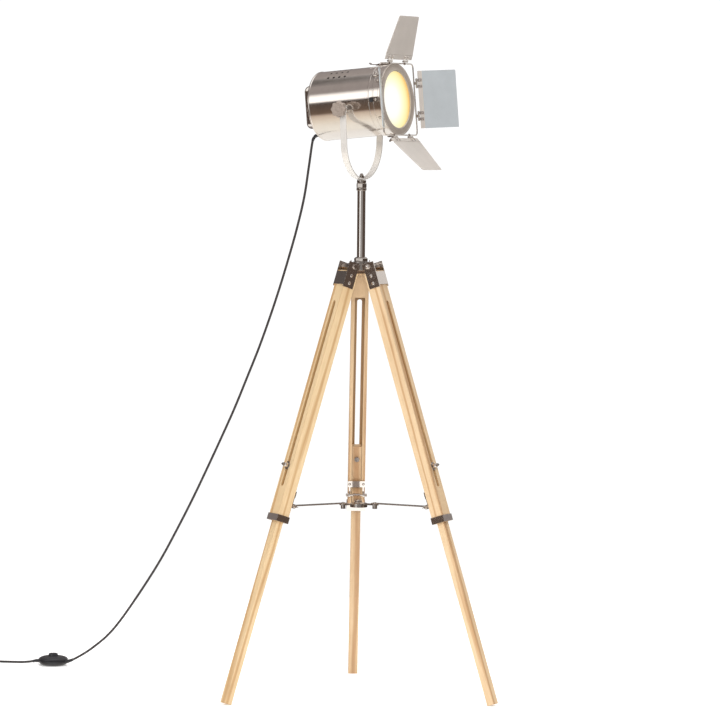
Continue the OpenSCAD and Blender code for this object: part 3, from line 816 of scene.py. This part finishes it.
def yoke_parts():
    tilt = point_of("tilt") / MM
    half_width, half = 7, 1.5
    radius, reach = 78, 83
    bend_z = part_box("yoke")[0].z / MM + radius + half
    middle = [(radius * math.cos(a), bend_z + radius * math.sin(a))
              for a in (math.radians(-180 + 180 * i / 96) for i in range(97))]
    rise = [(radius + (reach - radius) * t, bend_z + (tilt.z - 14 - bend_z) * t) for t in (0.34, 0.67, 1.0)]
    path = [(-reach, tilt.z)] + [(-y, z) for y, z in rise[::-1]] + middle + rise + [(reach, tilt.z)]
    left, right = [], []
    for i, (y, z) in enumerate(path):
        before, after = Vector(path[max(i - 1, 0)]), Vector(path[min(i + 1, len(path) - 1)])
        normal = (after - before).normalized().orthogonal() * half
        left.append((y + normal.x, z + normal.y))
        right.append((y - normal.x, z - normal.y))
    shape = Shape().prism(left + right[::-1], -half_width, half_width, UPRIGHT)
    for side in (Z_TO_Y, Z_TO_MINUS_Y):
        shape.rod(9, reach - half - 0.05, reach + half + 0.05, shift(*tilt) @ side, 64, 3.1)
    make("yoke_detail", shape, SOFT, "yoke", "yoke", bevel=0.5)
    bend_top = bend_z - radius + half
    fasteners = Shape().rod(3, bend_top - 12, bend_top + 2)
    fasteners.rod(6, bend_top + 0.3, bend_top + 1.4, steps=48)
    fasteners.hex_nut(Matrix(), 9.6, bend_top + 1.4, bend_top + 5.6)
    dome = [(0, 5.4), (4, 5.6), (3.9, 7), (3.1, 9), (1.7, 10.2), (0, 10.5)]
    fasteners.lathe([(r, bend_top + z) for r, z in dome], steps=48)
    for side in (Z_TO_Y, Z_TO_MINUS_Y):
        place = shift(*tilt) @ side
        fasteners.rod(3, 66, 100, place)
        fasteners.rod(7, reach + half, 86.1, place, 48, 3.1)
    make("yoke_fasteners_detail", fasteners, DARK, "yoke", "yoke_fasteners", bevel=0.25)


def knobs():
    """Eight-lobed clamping knobs with a shallow dished face and a centre boss."""
    profile = [(0, 101), (3.1, 101), (3.1, 86.5), (7.6, 86.5), (7.8, 87.2), (8.2, 92.5),
               (12.4, 94.2, 0.04), (15.2, 95.6, 0.075), (15.7, 97, 0.08), (15.7, 104.6, 0.08),
               (15.0, 106.6, 0.075), (13.8, 107.5, 0.06), (12.2, 107.6, 0.03), (11.4, 106.9),
               (5.4, 106.6), (5.0, 107.3), (3.6, 107.9), (0, 108)]
    for name, node, side in (("near", "tilt_knob_near", Z_TO_MINUS_Y), ("far", "tilt_knob_far", Z_TO_Y)):
        shape = Shape().lathe(profile, side, steps=128, lobes=8)
        place = shift(*point_of("tilt"))
        make(f"knob_{name}_detail", shape, KNOB, f"knob_{name}", node, place=place, bevel=0.3)


# ---------- lamp head ----------

VENT_COLUMNS = (-50, -37, -24, -11)
VENT_ROWS = (-40, -26, -12, 12, 26, 40)


def barrel():
    """Rolled sheet barrel with a bead at the rear, pierced with rows of vents over the top."""
    r = BARREL_R
    profile = [(r - 1.5, -89), (r, -89), (r + 0.7, -88.2), (r + 0.9, -87), (r + 0.7, -85.8), (r, -85),
               (r, -40), (r, 10), (r, 52), (r, 78), (r - 1.5, 78), (r - 1.5, 10), (r - 1.5, -40)]
    shape = Shape().lathe(profile, Z_TO_X, steps=192)
    piece = make("barrel_detail", shape, BARREL, "head", "barrel", place=HEAD, bevel=0)
    cutter_shape = Shape()
    for x in VENT_COLUMNS:
        for row in VENT_ROWS:
            cutter_shape.rod(2.7, r - 5, r + 5, turn("X", row) @ shift(x, 0, 0), 20)
    cutter = add_piece("vents", outward(mesh_of("vents", cutter_shape)), HEAD, NICKEL)
    modifier = piece.modifiers.new("vents", "BOOLEAN")
    modifier.operation = "DIFFERENCE"
    modifier.solver = "EXACT"
    modifier.object = cutter
    bpy.context.view_layer.update()
    cut = bpy.data.meshes.new_from_object(piece.evaluated_get(bpy.context.evaluated_depsgraph_get()))
    piece.modifiers.clear()
    piece.data = cut
    bpy.data.objects.remove(cutter)
    dress(piece, 0)


def trunnions():
    """Bosses on the barrel's sides where the tilt bolts go in."""
    shape = Shape()
    drop = (HEAD.inverted() @ point_of("tilt")).z / MM
    for side in (Z_TO_Y, Z_TO_MINUS_Y):
        boss = [(3.1, 68), (8, 68), (8, 78.6), (7.2, 81.1), (3.1, 81.1)]
        shape.lathe(boss, shift(0, 0, drop) @ side, steps=64)
    make("trunnions", shape, DARK, "head", place=HEAD, bevel=0.3)


def rear_parts():
    cover = [(0, -91.1), (24, -91.1), (25.5, -90.5), (27, -91.1), (66, -91.1), (69.5, -90.7), (71.5, -89.4),
             (70.6, -88.8), (68.5, -88.6), (68.5, -80.5), (67.8, -80.5), (67.8, -88.9), (0, -88.9)]
    shape = Shape().lathe(cover, Z_TO_X, steps=160)
    for angle in (30, 150, 270):
        shape.screw(turn("X", angle) @ shift(-91.1, 0, 60) @ turn("Y", -90), r=2.8, h=1.3)
    make("rear_cover_detail", shape, NICKEL, "head", "rear_cover", place=HEAD, bevel=0.2)
    refine("rear_handle", NICKEL, HEAD, bevel=0.45)
    gland = [(2.6, -99), (4.4, -99), (4.6, -98.4), (4.6, -95.2), (6.3, -95), (6.5, -94.4), (6.5, -91.6),
             (2.6, -91.3)]
    shape = Shape().lathe(gland, shift(0, 0, -58) @ Z_TO_X, steps=40)
    make("cable_gland_detail", shape, PLASTIC, "head", "cable_gland", place=HEAD, bevel=0.2)
    refine("lamp_holder", PLASTIC, HEAD, bevel=0.4)
    refine("bulb", BULB, HEAD, bevel=0)


def front_parts():
    r = BARREL_R
    # How far the collar stands off the barrel, and where along it
    collar = [(0.1, 52), (1.2, 52), (1.8, 52.6), (1.8, 54.6), (1.2, 55.2), (1.2, 63), (1.8, 63.5),
              (1.8, 65.5), (1.2, 66), (1.2, 76.4), (2.4, 77.4), (2.4, 81.2), (0.1, 81.2)]
    shape = Shape().lathe([(r + off, x) for off, x in collar], Z_TO_X, steps=192)
    make("front_collar_detail", shape, NICKEL, "head", "front_collar", place=HEAD, bevel=0.15)
    ring = [(58.5, 81.6), (74.2, 81.6), (74.6, 82.2), (74.6, 83.8), (74.0, 84.5), (71.6, 84.5), (71.0, 84.0),
            (61.4, 84.0), (60.4, 84.5), (59.2, 84.3), (58.5, 83.4)]
    shape = Shape().lathe(ring, Z_TO_X, steps=192).rod(65, 73.5, 81.5, Z_TO_X, 96, 62.5)
    make("bezel_detail", shape, BEZEL, "head", "bezel", place=HEAD, bevel=0.15)
    glass = [(0, 77.6), (62, 77.6), (62, 79.4), (56, 79.9), (40, 80.6), (20, 81.05), (0, 81.15)]
    shape = Shape().lathe(glass, Z_TO_X, steps=128)
    make("lens_detail", shape, LENS, "head", "lens", place=HEAD, bevel=0)


def latches():
    """Toggle latch on top, and round the collar: brackets, small plates, discs and a thumb screw."""
    seat = BARREL_R + 1.9
    shape, blocks = Shape(), Shape()
    top = shift(0, 0, seat)
    shape.prism(rounded([(42, -7), (76, -7), (76, 7), (42, 7)], 2.5), 0, 1.4, top)
    lever = [(26, 7.4), (29, 4.6), (36, 3.2), (52, 2.8), (64, 3.4), (67, 2.8), (66, 1.6), (52, 1.4),
             (36, 1.8), (28, 3.2), (24.6, 6.6)]
    shape.prism(lever, -4, 4, top @ SIDEWAYS)
    shape.tube([(66, -5.5, 2.6), (66, 5.5, 2.6)], 1.3, top)
    bail = [(66, -5, 2.6), (74, -4.4, 3.4), (75.4, -2.4, 3.5), (75.4, 2.4, 3.5), (74, 4.4, 3.4), (66, 5, 2.6)]
    shape.tube(bail, 0.7, top, 10)
    for x in (46, 72):
        shape.screw(top @ shift(x, 0, 1.4), r=1.9, h=1.0)
    for angle in (-90, 90):
        side = turn("X", angle) @ top
        shape.prism(rounded([(58.5, -5.5), (78, -5.5), (78, 5.5), (58.5, 5.5)], 2.0), 0, 2.0, side)
        blocks.prism(rounded([(59, -4.6), (66.4, -4.6), (66.4, 4.6), (59, 4.6)], 1.0), 2.0, 3.8, side)
        shape.screw(side @ shift(72, 0, 2.0), r=2.6, h=1.6)
    for angle in (-58, 58, -122, 122):
        spot = turn("X", angle) @ top
        shape.prism(rounded([(69, -3.4), (79, -3.4), (79, 3.4), (69, 3.4)], 1.6), -0.5, 1.2, spot)
        shape.screw(spot @ shift(74, 0, 1.2), r=1.9, h=1.0)
    for angle in (42, -42):
        cheek = turn("X", angle) @ top
        disc = [(0, -0.6), (9, -0.6), (9.4, 0), (9.4, 1.2), (8.6, 1.8), (6.2, 1.8), (5.6, 1.2), (0, 1.2)]
        shape.lathe(disc, cheek @ shift(64, 0, 0), steps=64)
        shape.screw(cheek @ shift(64, 0, 1.2), r=3.4, h=2.0)
    under = turn("X", 180) @ top
    shape.prism(rounded([(57, -6), (75, -6), (75, 6), (57, 6)], 2.5), 0, 2.6, under)
    shape.rod(2.2, 2.6, 6.6, under @ shift(66, 0, 0), 24)
    wing_nut(shape, under @ shift(66, 0, 5.2) @ turn("Z", 90), 0.78)
    for across in (-6.6, 6.6):
        ear = [(44, 1.2), (70, 1.2), (70, 3.4), (62, 4.6), (52, 4.0), (44, 2.4)]
        shape.prism(ear, -across - 0.7, -across + 0.7, top @ SIDEWAYS)
    make("collar_latches_detail", shape, NICKEL, "head", "collar_latches", place=HEAD, bevel=0.25)
    make("collar_latch_blocks", blocks, PLASTIC, "head", place=HEAD, bevel=0.25)


# ---------- barn doors ----------

HINGES = (-34, 34)
FRAME_HALF = 74
FRAME_ROD = 1.5


def rod_frame():
    """Bent rod square in front of the bezel, with hinge straps wrapped round it."""
    x = HINGE_X - 4.0
    corners = [(-FRAME_HALF, -FRAME_HALF), (FRAME_HALF, -FRAME_HALF),
               (FRAME_HALF, FRAME_HALF), (-FRAME_HALF, FRAME_HALF)]
    loop = [(x, y, z) for y, z in rounded(corners, 11, 10)]
    shape = Shape().tube(loop, FRAME_ROD, sides=14, closed=True)
    over_rod = FRAME_HALF - HINGE_R
    for i in range(4):
        at_hinge = turn("X", 90 * i) @ shift(HINGE_X, 0, HINGE_R)
        for y in HINGES:
            place = at_hinge @ shift(0, y, 0)
            shape.rod(2.2, -3, 3, place @ Z_TO_Y, 28, 1.05)
            strap = [(-2.2, 0.4), (-1.1, 0.6), (-1.6, over_rod - 2.2), (-2.6, over_rod - 3.2),
                     (-3.4, over_rod - 2.6), (-2.7, over_rod - 1.4)]
            shape.prism(strap, -3, 3, place @ SIDEWAYS)
    make("door_frame_detail", shape, NICKEL, "head", "door_frame", place=HEAD, bevel=0.1)
    pin = [(0, -10.6), (1.5, -10.5), (1.8, -9.9), (1, -9.7), (1, 9.7), (1.8, 9.9), (1.5, 10.5), (0, 10.6)]
    pins = Shape()
    for i in range(4):
        for y in HINGES:
            pins.lathe(pin, turn("X", 90 * i) @ shift(HINGE_X, y, HINGE_R) @ Z_TO_Y, steps=24)
    make("door_hinge_pins_detail", pins, DARK, "head", "door_hinge_pins", place=HEAD, bevel=0)


def barn_door(name, base_half, tip_half):
    """Folded sheet leaf: hinge flange, bend line, hemmed panel, and two screwed hinge straps."""
    length, fold, hem = 96, 13, 2.6
    place, body = door_frame_of(name), f"door_{name}"
    flange = rounded([(-base_half, 3.4), (base_half, 3.4), (base_half, fold), (-base_half, fold)], 1.2, 4)
    fold_bar = Shape().prism(flange, -0.4, 0.4, UPRIGHT)
    fold_bar.tube([(0.35, -base_half + 0.5, fold), (0.35, base_half - 0.5, fold)], 0.75, sides=12)
    make(f"door_{name}_flange", fold_bar, SATIN, body, place=place, bevel=0.15)
    shape = Shape()
    panel = [(-base_half, fold - 0.4), (base_half, fold - 0.4), (tip_half, length), (-tip_half, length)]
    shape.prism(rounded(panel, 2.0, 6), -0.4, 0.4, UPRIGHT)
    for side in (-1, 1):
        run = [(side * (base_half - 0.1), fold + 1.5), (side * (tip_half - 0.1), length - 2),
               (side * (tip_half - hem), length - 2 - hem), (side * (base_half - hem), fold + 1.5)]
        shape.prism(run if side < 0 else run[::-1], -1.0, -0.3, UPRIGHT)
    shape.prism([(-tip_half + 2, length - 0.1), (-tip_half + 2, length - hem), (tip_half - 2, length - hem),
                 (tip_half - 2, length - 0.1)], -1.0, -0.3, UPRIGHT)
    # painted reflection: the side leaves take the cooler satin copy for the light they reflect
    finish = SIDE_LEAF_REFLECTION_SATIN if name in ("near", "far") else SATIN
    make(f"door_{name}_leaf", shape, finish, body, f"door_{name}", place=place, bevel=0.15)
    iron = Shape()
    for y in HINGES:
        for middle in (y - 6.4, y + 6.4):
            iron.rod(2.2, -3, 3, shift(0, middle, 0) @ Z_TO_Y, 28, 1.05)
            strap = [(middle - 3, 1.5), (middle + 3, 1.5), (middle + 3, 12), (middle - 3, 12)]
            iron.prism(rounded(strap, 0.9, 4), 0.4, 1.1, UPRIGHT)
            iron.screw(shift(1.1, middle, 8.2) @ Z_TO_X, r=1.9, h=1.1)
    make(f"door_{name}_hinges", iron, NICKEL, body, place=place, bevel=0.12)


# ---------- floor switch and plug ----------


def dome_with_rings(foot_r, foot_z, top_r, top_z, rings):
    """A quarter-round rise with narrow grooves between its rings."""
    profile = []
    for i in range(rings):
        for share, depth in ((0.0, 0.45), (0.16, 0.0), (0.84, 0.0), (1.0, 0.45)):
            angle = math.radians(90) * (i + share) / rings
            profile.append((top_r + (foot_r - top_r) * math.cos(angle) - depth * math.cos(angle),
                            foot_z + (top_z - foot_z) * math.sin(angle) - depth * math.sin(angle)))
    return profile


def floor_switch():
    low, high = (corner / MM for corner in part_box("switch_base"))
    centre = (low + high) / 2
    place = shift(centre.x * MM, centre.y * MM, 0)
    base = [(0, 0.1), (19, 0.1), (24, 0.7), (28.6, 3.2), (31.2, 7), (32, 10.8), (31.6, 11.8), (0, 11.8)]
    cover = [(10.6, 13), (30.8, 12.2), (32, 13.0)] + dome_with_rings(32, 13.6, 11.6, 21.4, 6) + [(10.6, 21.2)]
    button = [(0, 17.6), (10, 17.6), (10, 25.2), (9.2, 26.4), (7.6, 27), (7.0, 26.7), (6.4, 27),
              (4.4, 27.4), (0, 27.5)]
    for node, profile, steps, body, bevel in (("switch_base", base, 128, "stand", 0.2),
                                              ("switch_cover", cover, 144, "stand", 0.1),
                                              ("switch_button", button, 96, "button", 0.2)):
        shape = Shape().lathe(profile, steps=steps)
        make(f"{node}_detail", shape, PLASTIC, body, node, place=place, bevel=bevel)


def plug():
    """Two-pin plug with a ribbed sleeve, a waisted body and round pins."""
    low, high = (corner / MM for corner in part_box("plug"))
    place = shift(high.x * MM, (low.y + high.y) / 2 * MM, 7 * MM)
    shape = Shape()
    ribs = [(3.7 if z % 3 else 3.2, z) for z in range(-20, 0)]
    shape.lathe([(0, -20)] + ribs + [(2.6, 0), (0, 0)], Z_TO_X, steps=32)
    body = [(-17, -5), (-17, 5), (-26, 7.2), (-36, 8.6), (-44, 12.6), (-51.4, 13), (-52, 12.4), (-52, -12.4),
            (-51.4, -13), (-44, -12.6), (-36, -8.6), (-26, -7.2)]
    shape.prism(body, -6.6, 6.6)
    for side in (-1, 1):
        pin = [(0, -71), (1.3, -71), (2, -70.2), (2, -52), (0, -52)]
        shape.lathe(pin, shift(0, side * 9.5, 0) @ Z_TO_X, steps=32)
    make("plug_detail", shape, PLASTIC, "stand", "plug", place=place, bevel=0.8)


# ---------- stage ----------


def camera_direction(left_degrees):
    """Horizontal direction so many degrees left of the camera, seen from the lamp."""
    angle = math.atan2(TO_CAMERA.y, TO_CAMERA.x) - math.radians(left_degrees)
    return Vector((math.cos(angle), math.sin(angle), 0))


def floor():
    angles = [math.tau * i / 96 for i in range(96)]
    mesh = bpy.data.meshes.new("floor")
    mesh.from_pydata([(1.7 * math.cos(a), 1.7 * math.sin(a), 0) for a in angles], [], [list(range(96))])
    piece = new_object("floor", mesh)
    material = bpy.data.materials.new("floor_white")
    graph = Graph(material)
    graph.fill(graph.nodes["Principled BSDF"], Base_Color=(0.92, 0.92, 0.92, 1), Roughness=0.9,
               Specular_IOR_Level=0.1, Emission_Color=(1, 1, 1, 1), Emission_Strength=0.3)
    mesh.materials.append(material)
    piece.visible_glossy = False


def studio_world():
    """White to the camera; to the metal, a grey room with a tall soft box and a dark skirting."""
    world = bpy.data.worlds.new("studio")
    bpy.context.scene.world = world
    graph = Graph(world)
    direction = graph.nodes.new("ShaderNodeTexCoord").outputs["Generated"]
    height = graph.split(direction)["Z"]

    def band(bottom, top):
        """1 between two heights; each end is where it starts and where it is full."""
        return graph.math("MULTIPLY", graph.remap(height, *bottom), graph.remap(height, *top))

    def toward(bearing, edge, core, elevation=0):
        """1 in a cone round a direction; edge and core are cosines of angles from its axis."""
        tilt = math.radians(elevation)
        aim = camera_direction(bearing) * math.cos(tilt) + Vector((0, 0, math.sin(tilt)))
        return graph.remap(graph.vector("DOT_PRODUCT", direction, aim), edge, core)

    tall = band((0.10, 0.17), (0.62, 0.55))
    low = graph.remap(height, -0.12, -0.25)
    level = band((-0.26, -0.18), (0.2, 0.12))
    patches = ((toward(0, 0.70, 0.90), (0.36, 0.34, 0.325, 1)),
               (graph.math("MULTIPLY", toward(180, 0.20, 0.50), low), (1.0, 0.99, 0.96, 1)),
               (graph.math("MULTIPLY", toward(36, 0.970, 0.986), level), (1.4, 1.4, 1.38, 1)),
               (toward(-124, 0.90, 0.95, 36), (1.1, 1.08, 1.04, 1)),
               (toward(0, 0.93, 0.97, -43), (1.35, 1.33, 1.3, 1)),
               (toward(116, 0.90, 0.95, 36), (0.06, 0.05, 0.045, 1)),
               (graph.math("MULTIPLY", toward(-78, 0.93, 0.97), tall), (1.1, 1.1, 1.12, 1)),
               (graph.math("MULTIPLY", toward(52, 0.80, 0.92), tall), (1.5, 1.48, 1.45, 1)))
    room = graph.ramp(graph.math("MULTIPLY_ADD", height, 0.5, 0.5),
                      (0.0, (1.06, 1.06, 1.0)), (0.12, (0.88, 0.80, 0.68)), (0.23, (0.66, 0.54, 0.44)),
                      (0.28, (0.16, 0.11, 0.08)), (0.54, (0.08, 0.06, 0.05)), (0.60, (0.275, 0.245, 0.24)),
                      (0.90, (0.37, 0.335, 0.32)), (0.985, (1.3, 1.3, 1.3)))
    for share, colour in patches:
        room = graph.mix(share, room, colour)
    seen = graph.nodes.new("ShaderNodeLightPath").outputs["Is Camera Ray"]
    graph.fill(graph.nodes["Background"], Color=graph.mix(seen, room, (1.06, 1.06, 1.06, 1)), Strength=1.0)


def area_light(name, bearing, distance, height, size, power, aim=0.75):
    light = bpy.data.lights.new(name, "AREA")
    light.shape = "SQUARE"
    light.size = size
    light.energy = power
    lamp = new_object(name, light)
    lamp.location = camera_direction(bearing) * distance + Vector((0, 0, height))
    aimed = Vector((0, 0, aim)) - lamp.location
    lamp.rotation_euler = aimed.to_track_quat("-Z", "Y").to_euler()
    lamp.visible_glossy = False


def lights():
    area_light("key", 0, 3.4, 2.0, 2.2, 104)
    area_light("side", 84, 3.0, 1.6, 2.0, 8)
    area_light("overhead", 180, 0.5, 3.4, 2.6, 56, aim=0)
    bpy.context.scene.view_settings.view_transform = "Standard"


floor()
studio_world()
lights()
floor_switch()
plug()
main_cord()
coiled_cord()
for leg in range(3):
    leg_wood(leg)
    leg_iron(leg)
    leg_screws(leg)
    leg_wing_nuts(leg)
pivot_bolts()
pole_parts()
spreader()
yoke_parts()
knobs()
barrel()
trunnions()
rear_parts()
front_parts()
latches()
rod_frame()
for door in DOORS:
    wide = door in ("near", "far")
    barn_door(door, 60 if wide else 59, 60 if wide else 42.5)
